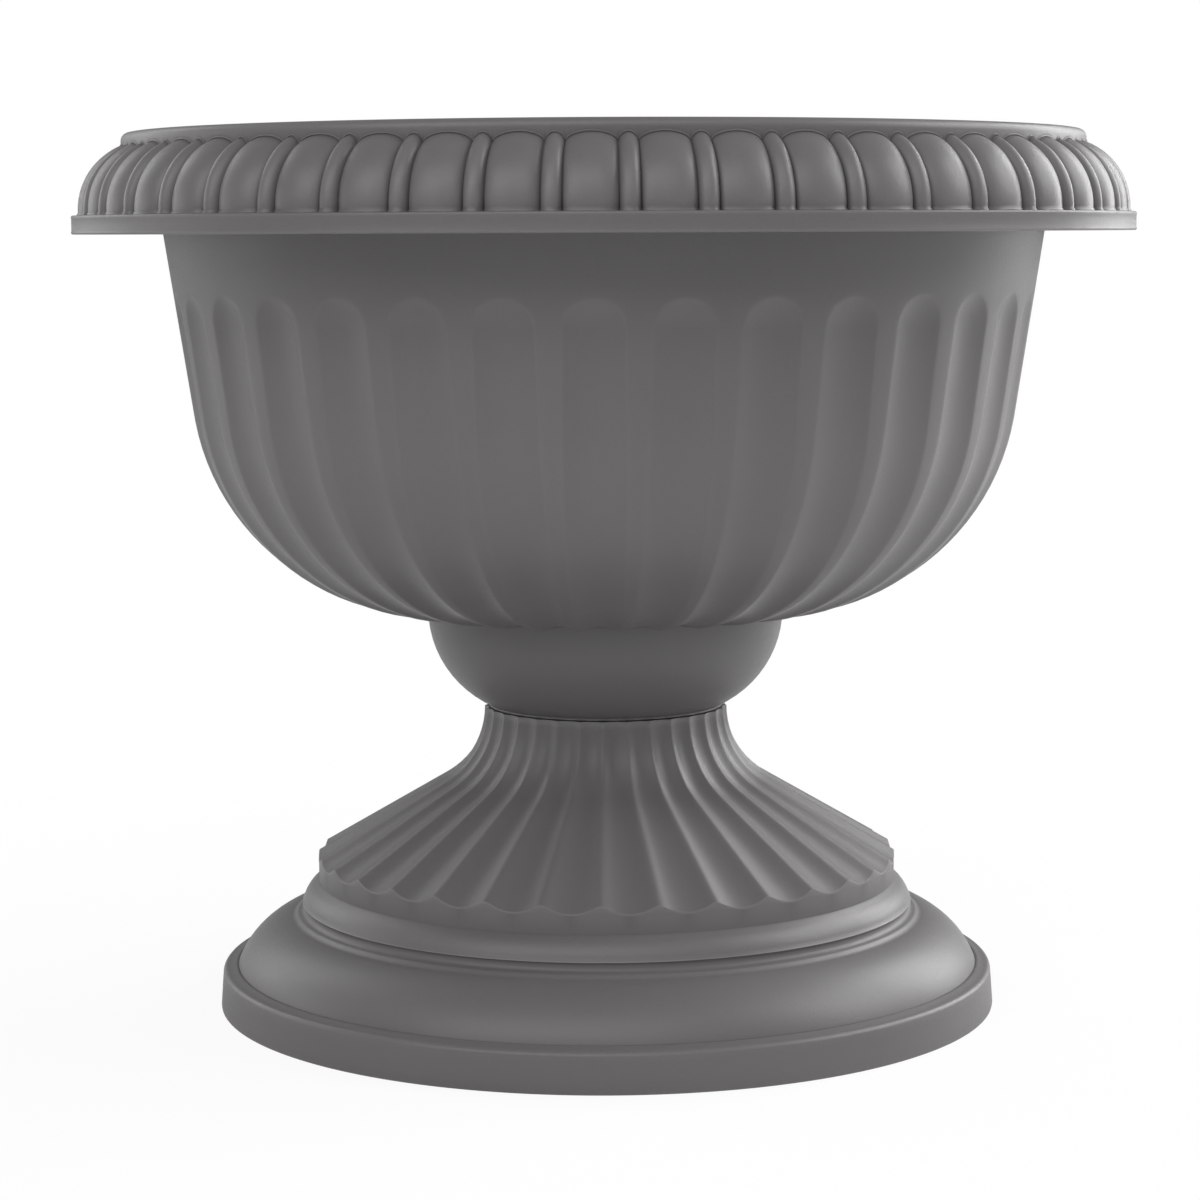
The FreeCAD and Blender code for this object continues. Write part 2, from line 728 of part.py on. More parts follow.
def make_plug(number):
    """Push-in plug with a pinch grip, in drain hole number (counted from 1 at +X)."""
    body = doc.addObject("PartDesign::Body", f"drain_plug_{number}")
    angle = f"{number - 1} * 360 / sizes.drain_count"
    body.setExpression("Placement.Base.x", f"sizes.drain_circle_radius * cos({angle})")
    body.setExpression("Placement.Base.y", f"sizes.drain_circle_radius * sin({angle})")
    body.setExpression("Placement.Base.z", formula(f"{BOWL_SEAT} + knop_floor"))
    body.setExpression("Placement.Rotation.Angle", f"1 deg * {angle}")

    sketch = add_sketch(body, f"plug_{number}_section", "XZ_Plane")
    head_top = "plug_seat_gap + plug_head_thickness"
    shank = "drain_radius - plug_clearance"
    tail = "- knop_floor - plug_tail"
    outline = Outline(sketch, "0", "plug_seat_gap")
    outline.line(f"{shank} - plug_wall", "plug_seat_gap")
    outline.line(f"{shank} - plug_wall", tail)
    outline.line(f"{shank} - 0.3*plug_wall", tail)
    outline.line(shank, f"{tail} + plug_wall")
    outline.line(shank, "plug_seat_gap")
    outline.line("plug_head_radius", "plug_seat_gap")
    outline.line("plug_head_radius", f"{head_top} - 0.4*plug_head_thickness")
    outline.line("plug_head_radius - 0.4*plug_head_thickness", head_top)
    outline.line("0", head_top)
    outline.close()
    revolve(body, f"plug_{number}_turned", sketch)

    grip_sketch = add_sketch(body, f"plug_{number}_grip_section", base=("0", "0", "plug_seat_gap"))
    grip = Outline(grip_sketch, "- 0.5*plug_grip_width", "- 0.5*plug_grip_length")
    grip.line("0.5*plug_grip_width", "- 0.5*plug_grip_length")
    grip.line("0.5*plug_grip_width", "0.5*plug_grip_length")
    grip.line("- 0.5*plug_grip_width", "0.5*plug_grip_length")
    grip.close()
    grip_height = "plug_head_thickness + plug_grip_height"
    extrude(body, "Pad", f"plug_{number}_grip", grip_sketch, grip_height)
    return body


# ---------------------------------------------------------------- build, check, write

pieces = [make_pedestal(), make_bowl()]
pieces += [make_plug(number + 1) for number in range(int(value("drain_count")))]
doc.recompute()

for item in doc.Objects:
    if "Invalid" in item.State or "Error" in item.State:
        raise RuntimeError(f"{item.Label} did not build: {item.State}")
for piece in pieces:
    if piece.Shape.isNull() or not piece.Shape.isValid():
        raise RuntimeError(f"{piece.Label} has no valid shape")

os.makedirs("parts", exist_ok=True)
for piece in pieces:
    piece.Shape.exportStep(f"parts/{piece.Label}.step")
    box = piece.Shape.BoundBox
    print(f"{piece.Label}: {len(piece.Shape.Solids)} solid, {piece.Shape.Volume / 1000:.1f} cm3,"
          f" z {box.ZMin:.2f} to {box.ZMax:.2f}, radius {box.XMax:.2f}")
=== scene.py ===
"""Urn planter: the finished surfaces of its pieces, and a plain studio to see them in."""
import json
import math

import bmesh
import bpy
from bpy.props import FloatProperty, FloatVectorProperty, IntProperty, PointerProperty
from mathutils import Matrix, Quaternion, Vector


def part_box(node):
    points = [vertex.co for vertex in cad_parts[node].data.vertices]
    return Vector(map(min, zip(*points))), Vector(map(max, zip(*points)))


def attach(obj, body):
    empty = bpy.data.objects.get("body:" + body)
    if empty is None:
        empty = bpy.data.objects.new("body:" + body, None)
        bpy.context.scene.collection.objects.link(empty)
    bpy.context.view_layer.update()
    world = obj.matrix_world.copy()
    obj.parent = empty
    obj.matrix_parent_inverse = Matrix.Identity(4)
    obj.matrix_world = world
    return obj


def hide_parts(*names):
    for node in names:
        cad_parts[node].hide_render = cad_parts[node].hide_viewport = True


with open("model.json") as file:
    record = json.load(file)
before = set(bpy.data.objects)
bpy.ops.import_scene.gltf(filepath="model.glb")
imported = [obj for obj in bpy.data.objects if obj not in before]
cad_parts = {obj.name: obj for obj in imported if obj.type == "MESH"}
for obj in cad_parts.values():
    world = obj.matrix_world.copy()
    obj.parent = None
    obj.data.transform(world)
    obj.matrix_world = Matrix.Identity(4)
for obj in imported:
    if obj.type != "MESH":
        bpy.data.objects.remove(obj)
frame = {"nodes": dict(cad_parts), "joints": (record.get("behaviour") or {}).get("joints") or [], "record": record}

bl_info = {
    "name": "Urn planter",
    "version": (1, 0, 0),
    "blender": (4, 5, 0),
    "location": "3D View > Sidebar > Urn",
    "description": "A fluted resin urn on its pedestal, and a plain studio",
    "category": "Add Mesh",
}

MM = 0.001
FRONT = math.radians(-90.0)
SWELL_ROUND = 34.0 * MM
SHARP_TURN = math.radians(40.0)
NOTCH_MIDDLE, NOTCH_HALF = 70.0, 13.0
STOP_MIDDLE, STOP_HALF = 15.5, 2.0
LUG_MIDDLE, LUG_HALF = 30.0, 12.0
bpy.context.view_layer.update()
PEDESTAL_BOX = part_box("pedestal")
BOWL_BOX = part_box("bowl")
SEAT_HEIGHT = next(j["pos_m"][2] for j in frame["joints"] if j["name"] == "bowl_twist")
SLOT_COLOURS = {m["slot"]: m["base_color"] for m in frame["record"]["materials"]}


# ---------------------------------------------------------------- sizes and colours

def length(name, description, default):
    """A size in metres."""
    return FloatProperty(
        name=name, description=description, default=default, min=0.0, unit="LENGTH", precision=4
    )


def colour(name, description, slot):
    """A plain colour, which starts as the one that the record gives to a material slot."""
    return FloatVectorProperty(
        name=name, description=description, default=SLOT_COLOURS[slot], size=3,
        min=0.0, max=1.0, subtype="COLOR",
    )


class PedestalSizes(bpy.types.PropertyGroup):
    """Sizes of the pedestal."""

    foot_radius: length("Foot radius", "Radius of the foot on the floor", PEDESTAL_BOX[1].x)
    foot_height: length("Foot height", "Height of the foot's upright edge", 0.0164)
    band_radius: length("Band radius", "Radius of the plain band below the skirt", 0.1273)
    band_height: length("Band height", "Height at which the band meets the ring moulding", 0.0544)
    ledge_radius: length("Ledge radius", "Radius of the crease between the swell and the ledge", 0.1630)
    ledge_height: length("Ledge height", "Height of that crease", 0.0185)
    foot_top_radius: length("Foot top radius", "Radius of the top of the foot's edge", 0.1698)
    skirt_height: length("Skirt height", "Height at which the skirt's crests reach the band", 0.0664)
    neck_radius: length("Neck radius", "Radius of the neck under the bowl", 0.0535)
    neck_round: length("Neck round", "Radius of the sweep from the skirt to the neck", 0.0365)
    flute_depth: length("Flute depth", "Depth of a flute at the band", 0.0029)
    neck_flute_depth: length("Neck flute depth", "Depth of a flute at the neck", 0.0016)
    wall: length("Wall", "Thickness of the moulded wall", 0.0055)
    deck: length("Deck", "Thickness of the deck in the neck", 0.0040)
    hole_radius: length("Hole radius", "Radius of the hole in the deck", 0.0344)
    notch_radius: length("Notch radius", "Radius of the notches round that hole", 0.0409)
    stop_radius: length("Stop radius", "Outer radius of the stops under the deck", 0.0466)
    stop_drop: length("Stop drop", "How far the stops hang below the deck", 0.0040)
    flute_count: IntProperty(
        name="Flutes", description="Number of flutes round the pedestal", default=33, min=3
    )


class BowlSizes(bpy.types.PropertyGroup):
    """Sizes of the bowl; heights count from its seat."""

    seat_radius: length("Seat radius", "Radius of the bowl's underside on the pedestal", 0.0514)
    knop_radius: length("Knop radius", "Radius of the knop where the belly leaves it", 0.0780)
    knop_height: length("Knop height", "Height of the top of the knop", 0.0427)
    belly_round: length("Belly round", "Radius of the belly's outline", 0.1012)
    wall_radius: length("Wall radius", "Radius of the wall at the lip's underside", 0.1899)
    flute_top: length("Flute top", "Height of the flutes' round tops", 0.1820)
    flute_depth: length("Flute depth", "Depth of a flute near its top", 0.0032)
    knop_flute_depth: length("Knop flute depth", "Depth of a flute at the knop", 0.0017)
    land: length("Land", "Width of the plain strip between two flutes near their tops", 0.0106)
    knop_land: length("Knop land", "Width of the strip between two flutes at the knop", 0.0020)
    lip_radius: length("Lip radius", "Radius of the lip's face", BOWL_BOX[1].x)
    lip_base: length("Lip base", "Height of the lip's lower edge", 0.2070)
    lip_thickness: length("Lip thickness", "Height of the lip's face", 0.0080)
    ovolo_reach: length("Ovolo reach", "Radius of the urn over the eggs' crests", 0.2258)
    ovolo_radius: length("Ovolo radius", "Radius of an egg's outline, seen from the side", 0.0294)
    collar_radius: length("Collar radius", "Radius of the plain collar at the top", 0.2070)
    egg_height: length("Egg height", "How far an egg stands out from its creases", 0.0038)
    bead_height: length("Bead height", "How far a bead stands out from its creases", 0.0036)
    mouth_radius: length("Mouth radius", "Radius of the wall's outside at the rim's top", 0.1962)
    collar_round: length("Collar round", "Radius of the collar's outer top edge", 0.0032)
    mouth_round: length("Mouth round", "Radius of the rim's inner top edge", 0.0020)
    spigot_radius: length("Spigot radius", "Outer radius of the spigot", 0.0340)
    spigot_bore: length("Spigot bore", "Inner radius of the spigot", 0.0300)
    lug_radius: length("Lug radius", "Outer radius of the lugs on the spigot", 0.0405)
    lug_height: length("Lug height", "Height of the lugs", 0.0040)
    floor: length("Floor", "Thickness of the bowl's floor", 0.0040)
    drain_radius: length("Drain radius", "Radius of a drain hole", 0.0060)
    drain_reach: length("Drain reach", "Distance of a drain hole from the axis", 0.0180)
    wall: length("Wall", "Thickness of the moulded wall", 0.0055)
    rim_wall: length("Rim wall", "Thickness of the moulded rim", 0.0036)
    flute_count: IntProperty(
        name="Flutes", description="Number of flutes round the bowl", default=33, min=3
    )
    egg_count: IntProperty(
        name="Eggs", description="Number of eggs, and of beads, round the rim", default=48, min=3
    )


class FinishSettings(bpy.types.PropertyGroup):
    """Colours and textures of the resin."""

    bowl_colour: colour("Bowl", "Colour of the bowl's resin", "bowl_resin")
    pedestal_colour: colour("Pedestal", "Colour of the pedestal's resin", "pedestal_resin")
    plug_colour: colour("Plugs", "Colour of the drain plugs' resin", "plug_resin")
    roughness: FloatProperty(
        name="Roughness", description="Roughness of the satin resin", default=0.45, min=0.0, max=1.0
    )
    grain_size: length("Grain size", "Size of the cast grain", 0.0011)


class StudioSettings(bpy.types.PropertyGroup):
    """Where the camera stands."""

    distance: length("Distance", "Level distance from the urn's axis to the camera", 1.394)
    height: length("Height", "Height of the camera above the floor", 0.339)
    azimuth: FloatProperty(
        name="Azimuth", description="How far the camera stands round to the right of the front",
        default=math.radians(1.2), unit="ROTATION",
    )
    pitch: FloatProperty(
        name="Pitch", description="How far the camera looks down",
        default=math.radians(6.64), unit="ROTATION",
    )
    yaw: FloatProperty(
        name="Yaw", description="How far the camera looks to the left of the urn's axis",
        default=math.radians(0.096), unit="ROTATION",
    )
    roll: FloatProperty(
        name="Roll", description="How far the camera leans clockwise",
        default=math.radians(0.25), unit="ROTATION",
    )
    lens: FloatProperty(
        name="Lens", description="Focal length on a sensor 36 mm wide", default=95.55, unit="CAMERA"
    )


# ---------------------------------------------------------------- outlines
# A spot of an outline is a pair: distance from the urn's axis, and height.

def polar(angle):
    """Direction at an angle."""
    return Vector((math.cos(angle), math.sin(angle)))


def arc(centre, radius, start, end, steps):
    """Spots along an arc, without its first one."""
    return [
        centre + radius * polar(start + (end - start) * step / steps)
        for step in range(1, steps + 1)
    ]


def bulge(start, end, radius, side, steps):
    """Spots of an arc between two spots, bulging to the left (1) or the right (-1) of the way."""
    chord = end - start
    left = Vector((-chord.y, chord.x)).normalized()
    rise = math.sqrt(radius ** 2 - (chord.length / 2) ** 2)
    centre = (start + end) / 2 - side * rise * left
    first = math.atan2(start.y - centre.y, start.x - centre.x)
    sweep = 2 * math.asin(chord.length / 2 / radius)
    return arc(centre, radius, first, first - side * sweep, steps)


def upright_arc(low, high, steps):
    """Spots of the arc that climbs from one spot and stands upright at the other."""
    rise, reach = high.y - low.y, high.x - low.x
    radius = (rise ** 2 + reach ** 2) / (2 * reach)
    centre = Vector((high.x - radius, high.y))
    return arc(centre, radius, math.atan2(low.y - centre.y, low.x - centre.x), 0.0, steps)


def touching_angle(centre, radius, spot, side):
    """Angle at which a line from a spot touches a circle, on its left (1) or right (-1)."""
    way = spot - centre
    return math.atan2(way.y, way.x) + side * math.acos(radius / way.length)


class BellyOutline:
    """The bowl's outside from the knop to the lip: an arc, then a straight wall."""

    def __init__(self, sizes, inset=0.0):
        self.centre = Vector((sizes.knop_radius, sizes.knop_height + sizes.belly_round))
        self.radius = sizes.belly_round - inset
        top = Vector((sizes.wall_radius, sizes.lip_base))
        self.end = touching_angle(self.centre, sizes.belly_round, top, -1)
        self.start = FRONT
        self.turned = self.radius * (self.end - self.start)

    def at(self, way):
        """Spot and outward direction at a distance along the outline from the knop."""
        angle = min(self.start + way / self.radius, self.end)
        outward = polar(angle)
        straight = max(way - self.turned, 0.0)
        return self.centre + self.radius * outward + straight * Vector((-outward.y, outward.x)), outward

    def way_to(self, height):
        """Distance along the outline to a height on its straight wall."""
        foot = self.at(self.turned)[0]
        return self.turned + (height - foot.y) / math.cos(self.end)


class SkirtOutline:
    """The pedestal's outside from the band to the neck: a straight skirt, then a hollow arc."""

    def __init__(self, sizes, top):
        self.foot = Vector((sizes.band_radius, sizes.skirt_height))
        self.centre = Vector((sizes.neck_radius + sizes.neck_round, top))
        self.radius = sizes.neck_round
        self.start = touching_angle(self.centre, self.radius, self.foot, -1)
        touch = self.centre + self.radius * polar(self.start)
        self.slope = (touch - self.foot).normalized()
        self.straight = (touch - self.foot).length
        self.total = self.straight + self.radius * (self.start + math.pi)

    def at(self, way):
        """Spot and outward direction at a distance along the outline from the band."""
        if way <= self.straight:
            return self.foot + way * self.slope, Vector((self.slope.y, -self.slope.x))
        angle = self.start - (way - self.straight) / self.radius
        return self.centre + self.radius * polar(angle), -polar(angle)


# ---------------------------------------------------------------- shaping

def hollow_depth(reach, half_width, depth, softness):
    """Depth of a flute at a distance from its middle, running out softly at its edge."""
    raw = depth * (1.0 - (reach / half_width) ** 2)
    return 0.5 * (raw + math.hypot(raw, softness))


def ring_of(bm, count, across, along, place):
    """A ring of like sectors, each mirrored from a grid whose corners a function places."""
    made = bmesh.ops.create_grid(bm, x_segments=across, y_segments=along, size=0.5)
    for corner in made["verts"]:
        column = round((corner.co.x + 0.5) * across)
        row = round((corner.co.y + 0.5) * along)
        offset, spot = place(column, row)
        angle = FRONT + offset / spot.x
        corner.co = (spot.x * math.cos(angle), spot.x * math.sin(angle), spot.y)
    bmesh.ops.mirror(bm, geom=bm.verts[:] + bm.edges[:] + bm.faces[:], axis="X", merge_dist=0.0)
    bmesh.ops.spin(
        bm, geom=bm.verts[:] + bm.edges[:] + bm.faces[:], cent=(0, 0, 0), axis=(0, 0, 1),
        dvec=(0, 0, 0), angle=math.tau * (count - 1) / count, steps=count - 1,
        use_duplicate=True, use_normal_flip=False, use_merge=False,
    )
    bmesh.ops.remove_doubles(bm, verts=bm.verts[:], dist=0.01 * MM)
    rims = [edge for edge in bm.edges if edge.is_boundary]
    middle = sum(edge.verts[0].co.z for edge in rims) / len(rims)
    lower = [edge for edge in rims if edge.verts[0].co.z < middle]
    upper = [edge for edge in rims if edge.verts[0].co.z >= middle]
    return lower, upper


def set_ring(corner, spot):
    """Put a corner of a ring at a distance from the axis and a height."""
    reach = math.hypot(corner.co.x, corner.co.y)
    corner.co = (corner.co.x * spot.x / reach, corner.co.y * spot.x / reach, spot.y)


def grow(bm, ring, spots, shift=None):
    """Extrude a ring of edges from spot to spot, and return its last copy.

    With shift, a corner keeps its own distance and height, moved by each spot.
    """
    for spot in spots:
        made = bmesh.ops.extrude_edge_only(bm, edges=ring)["geom"]
        corners = {part for part in made if isinstance(part, bmesh.types.BMVert)}
        ring = [
            part for part in made
            if isinstance(part, bmesh.types.BMEdge) and corners.issuperset(part.verts)
        ]
        for corner in corners:
            here = Vector((math.hypot(corner.co.x, corner.co.y), corner.co.z))
            set_ring(corner, here + spot if shift else spot)
    return ring


def new_ring(bm, steps, spot):
    """A plain circle of edges about the axis."""
    made = bmesh.ops.create_circle(
        bm, cap_ends=False, radius=spot.x, segments=steps, matrix=Matrix.Translation((0, 0, spot.y))
    )
    return list({edge for corner in made["verts"] for edge in corner.link_edges})


def bridge(bm, *rings):
    """Close the strip between two rings of edges."""
    bmesh.ops.bridge_loops(bm, edges=[edge for ring in rings for edge in ring])


def fill_flat(bm, rings):
    """Fill a level face that has round holes in it."""
    bmesh.ops.triangle_fill(
        bm, use_beauty=True, use_dissolve=False, edges=[edge for ring in rings for edge in ring]
    )


def finish_mesh(bm, name, material, body, replaced):
    """Turn a closed bmesh into a smooth-shaded piece that stands for a node and rides on a body."""
    bmesh.ops.remove_doubles(bm, verts=bm.verts[:], dist=0.002 * MM)
    bmesh.ops.recalc_face_normals(bm, faces=bm.faces[:])
    bm.normal_update()
    # how convex (above 0) or hollow (below 0) the surface is round each corner; the resin paints a highlight on
    # the convex crests and shade in the hollow creases from it
    relief = bm.verts.layers.float.new("relief")
    for corner in bm.verts:
        total = 0.0
        for edge in corner.link_edges:
            way = edge.other_vert(corner).co - corner.co
            total -= corner.normal.dot(way) / way.length
        corner[relief] = total / len(corner.link_edges)
    for face in bm.faces:
        face.smooth = True
    for edge in bm.edges:
        edge.smooth = not edge.is_manifold or edge.calc_face_angle() < SHARP_TURN
    mesh = bpy.data.meshes.new(name)
    bm.to_mesh(mesh)
    bm.free()
    mesh.materials.append(material)
    piece = bpy.data.objects.new(name, mesh)
    bpy.context.scene.collection.objects.link(piece)
    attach(piece, body)
    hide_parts(replaced)
    return piece


# ---------------------------------------------------------------- finishes

def grain_group():
    """Cast grain, faint mottling, a painted highlight on crests and painted shade in creases, as a shared node
    group.
    """
    name = "moulded_resin"
    if name in bpy.data.node_groups:
        return bpy.data.node_groups[name]
    group = bpy.data.node_groups.new(name, "ShaderNodeTree")
    sockets = group.interface
    for label, kind, default in (
        ("Colour", "NodeSocketColor", (0.13, 0.125, 0.125, 1.0)),
        ("Roughness", "NodeSocketFloat", 0.5),
        ("Grain scale", "NodeSocketFloat", 900.0),
        ("Mottle", "NodeSocketFloat", 0.06),
        ("Wear", "NodeSocketFloat", 0.5),
    ):
        socket = sockets.new_socket(name=label, in_out="INPUT", socket_type=kind)
        socket.default_value = default
    for label, kind in (
        ("Colour", "NodeSocketColor"), ("Roughness", "NodeSocketFloat"), ("Height", "NodeSocketFloat"),
    ):
        sockets.new_socket(name=label, in_out="OUTPUT", socket_type=kind)
    nodes, links = group.nodes, group.links
    inputs = nodes.new("NodeGroupInput")
    outputs = nodes.new("NodeGroupOutput")
    place = nodes.new("ShaderNodeTexCoord").outputs["Object"]

    def noise(scale, detail):
        node = nodes.new("ShaderNodeTexNoise")
        links.new(place, node.inputs["Vector"])
        if isinstance(scale, float):
            node.inputs["Scale"].default_value = scale
        else:
            links.new(scale, node.inputs["Scale"])
        node.inputs["Detail"].default_value = detail
        return node.outputs["Fac"]

    def math_node(operation, first, second):
        node = nodes.new("ShaderNodeMath")
        node.operation = operation
        for socket, source in zip(node.inputs, (first, second)):
            if isinstance(source, (int, float)):
                socket.default_value = source
            else:
                links.new(source, socket)
        return node.outputs[0]

    def spread(source, low, high, new_low, new_high):
        node = nodes.new("ShaderNodeMapRange")
        links.new(source, node.inputs["Value"])
        labels = ("From Min", "From Max", "To Min", "To Max")
        for label, amount in zip(labels, (low, high, new_low, new_high)):
            if isinstance(amount, (int, float)):
                node.inputs[label].default_value = amount
            else:
                links.new(amount, node.inputs[label])
        return node.outputs["Result"]

    cloud = noise(14.0, 4.0)
    grain = noise(inputs.outputs["Grain scale"], 3.0)
    peel = noise(260.0, 2.0)
    relief = nodes.new("ShaderNodeAttribute")
    relief.attribute_name = "relief"
    crest = spread(relief.outputs["Fac"], 0.02, 0.22, 0.0, 1.0)
    crease = spread(relief.outputs["Fac"], -0.03, -0.30, 0.0, 1.0)

    mottle = inputs.outputs["Mottle"]
    tone = math_node("MULTIPLY", math_node("SUBTRACT", cloud, 0.5), mottle)
    tone = math_node("ADD", tone, math_node("MULTIPLY", math_node("SUBTRACT", grain, 0.5), mottle))
    # painted highlight: crests are made lighter in the colour, patchily, standing in for the light that their
    # rounded edges catch
    painted_crest_highlight = math_node("MULTIPLY", math_node("MULTIPLY", crest, cloud), inputs.outputs["Wear"])
    tone = math_node("ADD", tone, math_node("MULTIPLY", painted_crest_highlight, 0.50))
    # painted shade: creases are made darker in the colour, standing in for the shade that gathers in them
    tone = math_node("SUBTRACT", tone, math_node("MULTIPLY", crease, 0.14))
    tone = math_node("ADD", math_node("MULTIPLY", tone, 2.0), 1.0)
    shaded = nodes.new("ShaderNodeVectorMath")
    shaded.operation = "SCALE"
    links.new(inputs.outputs["Colour"], shaded.inputs[0])
    links.new(tone, shaded.inputs["Scale"])
    links.new(shaded.outputs[0], outputs.inputs["Colour"])

    speckle = math_node("SUBTRACT", grain, 0.5)
    rough = math_node("ADD", inputs.outputs["Roughness"], math_node("MULTIPLY", speckle, 0.25))
    rough = math_node("SUBTRACT", rough, math_node("MULTIPLY", painted_crest_highlight, 0.12))
    rough = math_node("ADD", rough, math_node("MULTIPLY", crease, 0.15))
    links.new(rough, outputs.inputs["Roughness"])
    height = math_node("ADD", grain, math_node("MULTIPLY", peel, 0.6))
    links.new(height, outputs.inputs["Height"])
    return group


def resin(name, base, roughness, grain_size, crest_highlight, bump):
    """Satin moulded resin, with a painted highlight on its crests and painted shade in its creases."""
    material = bpy.data.materials.new(name)
    material.use_nodes = True
    nodes, links = material.node_tree.nodes, material.node_tree.links
    surface = nodes["Principled BSDF"]
    grain = nodes.new("ShaderNodeGroup")
    grain.node_tree = grain_group()
    grain.inputs["Colour"].default_value = (*base, 1.0)
    grain.inputs["Roughness"].default_value = roughness
    grain.inputs["Grain scale"].default_value = 1.0 / grain_size
    grain.inputs["Wear"].default_value = crest_highlight
    relief = nodes.new("ShaderNodeBump")
    relief.inputs["Strength"].default_value = bump
    relief.inputs["Distance"].default_value = 0.15 * MM
    links.new(grain.outputs["Colour"], surface.inputs["Base Color"])
    links.new(grain.outputs["Roughness"], surface.inputs["Roughness"])
    links.new(grain.outputs["Height"], relief.inputs["Height"])
    links.new(relief.outputs["Normal"], surface.inputs["Normal"])
    surface.inputs["Metallic"].default_value = 0.0
    surface.inputs["Specular IOR Level"].default_value = 0.5
    material.diffuse_color = (*base, 1.0)
    return material


# ---------------------------------------------------------------- pedestal

def pedestal_flutes(bm, sizes, top):
    """The fluted skirt and neck; returns its rings at the band and at the neck."""
    outline = SkirtOutline(sizes, top)
    across = (0.0, 0.22, 0.42, 0.60, 0.75, 0.87, 0.95, 1.0)
    rows = 30
    edge_round = 0.7 * MM
    lands = (2.2 * MM, 0.9 * MM)
    softness = 0.45 * MM

    def place(column, row):
        share = row / rows
        depth_here = sizes.flute_depth + (sizes.neck_flute_depth - sizes.flute_depth) * share
        land = lands[0] + (lands[1] - lands[0]) * share
        half_pitch = outline.at(share * outline.total)[0].x * math.pi / sizes.flute_count
        half_width = half_pitch - 0.5 * land
        offset = across[column] * half_pitch
        depth = hollow_depth(offset, half_width, depth_here, softness)
        start = -depth * outline.slope.y / -outline.slope.x + edge_round
        spot, outward = outline.at(start + (outline.total - start) * share)
        spot = spot - depth * outward
        return across[column] * spot.x * math.pi / sizes.flute_count, spot

    lower, upper = ring_of(bm, sizes.flute_count, len(across) - 1, rows, place)
    half_step = math.pi / sizes.flute_count
    bmesh.ops.rotate(
        bm, cent=(0, 0, 0), matrix=Matrix.Rotation(half_step, 3, "Z"), verts=bm.verts[:]
    )
    return lower, upper


def foot_outline(sizes):
    """The mouldings below the band: ring, cove, ridge, swell, ledge and foot."""
    band = Vector((sizes.band_radius, sizes.band_height))
    ring = Vector((134.7 * MM, 44.9 * MM))
    ridge = Vector((136.1 * MM, 40.6 * MM))
    valley = Vector((137.9 * MM, 39.0 * MM))
    ledge = Vector((sizes.ledge_radius, sizes.ledge_height))
    foot = Vector((sizes.foot_top_radius, sizes.foot_height))
    floor_edge = Vector((sizes.foot_radius, 0.0))
    nib = 0.35 * MM
    spots = [band + Vector((0, 8 * MM)), band + Vector((0, nib))]
    spots += bulge(band, ring + Vector((-nib, 2 * nib)), 14.0 * MM, 1, 9)
    spots += [ring + Vector((0, nib)), ring + Vector((0.3 * nib, 0)), ring + Vector((-nib, -0.5 * nib))]
    spots += bulge(spots[-1], ridge, 2.6 * MM, -1, 6)
    crest = bulge(ridge, valley, 2.4 * MM, 1, 5)[:3]
    swell = bulge(valley, ledge, SWELL_ROUND, 1, 14)
    spots += crest + bulge(crest[-1], swell[0], 4.0 * MM, -1, 5) + swell[1:]
    # a fine crease, a low bead beside it, and a gentle fall to the foot's rounded edge
    spots += [
        ledge + Vector((0.20 * MM, -0.50 * MM)),
        ledge + Vector((0.60 * MM, -0.45 * MM)),
        ledge + Vector((1.00 * MM, -0.22 * MM)),
        ledge + Vector((1.40 * MM, -0.25 * MM)),
        ledge + Vector((2.20 * MM, -0.60 * MM)),
        foot + Vector((-2.2 * MM, 0.75 * MM)),
    ]
    spots += bulge(spots[-1], foot + Vector((0.07 * MM, -1.2 * MM)), 2.3 * MM, 1, 6)
    spots += [floor_edge.lerp(foot, share) for share in (0.75, 0.5, 0.25, 0.05)]
    spots += [floor_edge + Vector((-0.15 * MM, 0.2 * MM)), floor_edge + Vector((-0.6 * MM, 0))]
    return spots


def pedestal_inside(sizes, deck):
    """The inside of the hollow pedestal, from the floor up to the deck's underside."""
    wall = sizes.wall
    centre = Vector((sizes.neck_radius + sizes.neck_round, deck))
    radius = sizes.neck_round + wall
    skirt = Vector((sizes.band_radius - wall, sizes.skirt_height - wall))
    touch = touching_angle(centre, radius, skirt, -1)
    ledge = Vector((sizes.ledge_radius - wall, sizes.ledge_height - wall))
    swell = Vector((137.6 * MM - wall, 39.6 * MM - wall))
    spots = [Vector((sizes.foot_top_radius - wall, sizes.foot_height - wall)), ledge]
    spots += bulge(ledge, swell, SWELL_ROUND - wall, -1, 8)
    spots += [Vector((sizes.band_radius - wall, sizes.band_height - wall)), skirt]
    spots += [centre + radius * polar(touch)]
    spots += arc(centre, radius, touch, -math.pi, 10)
    return spots


def near_third(place, middle, half_width):
    """Whether a place lies close to an angle, or to one a third or two thirds of a turn on."""
    angle = math.degrees(math.atan2(place.y, place.x))
    return abs((angle - middle + 60.0) % 120.0 - 60.0) < half_width


def grow_notched(bm, ring, spot, notch_radius):
    """Extrude a ring to a spot, and out to a wider radius in its three notches."""
    ring = grow(bm, ring, [spot])
    for corner in {corner for edge in ring for corner in edge.verts}:
        if near_third(corner.co, NOTCH_MIDDLE, NOTCH_HALF):
            set_ring(corner, Vector((notch_radius, spot.y)))
    return ring


def pull_out(bm, faces, first, half_width, place):
    """Extrude the faces round three angles, and place the corners of their copies."""
    chosen = [face for face in faces if near_third(face.calc_center_median(), first, half_width)]
    made = bmesh.ops.extrude_face_region(bm, geom=chosen)["geom"]
    bmesh.ops.delete(bm, geom=chosen, context="FACES")
    for corner in (part for part in made if isinstance(part, bmesh.types.BMVert)):
        set_ring(corner, place(math.hypot(corner.co.x, corner.co.y), corner.co.z))


